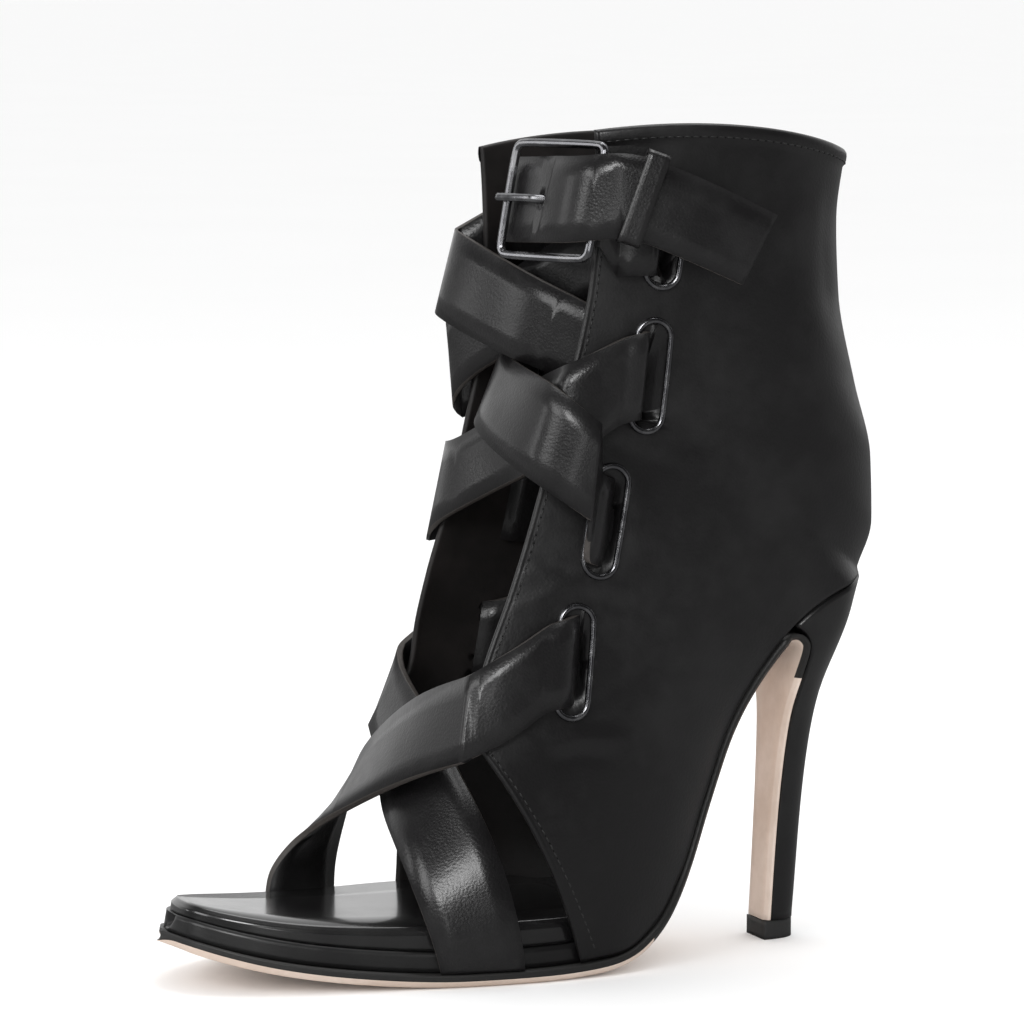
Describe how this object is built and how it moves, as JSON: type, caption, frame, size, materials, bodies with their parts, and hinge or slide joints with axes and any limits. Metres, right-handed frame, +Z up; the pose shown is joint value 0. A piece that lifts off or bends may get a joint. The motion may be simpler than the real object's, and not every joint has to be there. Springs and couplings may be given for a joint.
{
  "type": "stiletto ankle boot",
  "caption": "Open-toe leather ankle boot on a thin stiletto heel, with wide straps crossed through metal slot eyelets in the quarters and a side buckle under the collar.",
  "frame": {"origin": "centre of the forefoot's flat patch on the floor", "axes": "+X towards the shoe's outer (lateral) side, with the buckle; +Y from the toe to the heel; +Z up from the floor"},
  "size_m": [0.0881, 0.2199, 0.2413],
  "materials": {
    "black_leather": "smooth black leather, satin gloss",
    "sole_leather": "natural beige sole leather, burnished",
    "gunmetal": "dark polished gunmetal plating",
    "black_rubber": "matte black top piece"
  },
  "bodies": {
    "root": {"upper": "black_leather", "outsole": "sole_leather", "platform_rand": "black_leather", "footbed": "black_leather", "heel": "black_leather", "heel_top_piece": "black_rubber", "strap_inner_root": "black_leather", "strap_outer_root": "black_leather", "strap_buckle_base": "black_leather", "strap_loose_end": "black_leather", "slot_rim_lateral_1": "gunmetal", "slot_rim_lateral_2": "gunmetal", "slot_rim_lateral_3": "gunmetal", "slot_rim_lateral_4": "gunmetal", "slot_rim_medial_1": "gunmetal", "slot_rim_medial_2": "gunmetal", "slot_rim_medial_3": "gunmetal", "slot_rim_medial_4": "gunmetal", "buckle_frame": "gunmetal", "buckle_prong": "gunmetal", "keeper": "black_leather"}
  },
  "joints": []
}
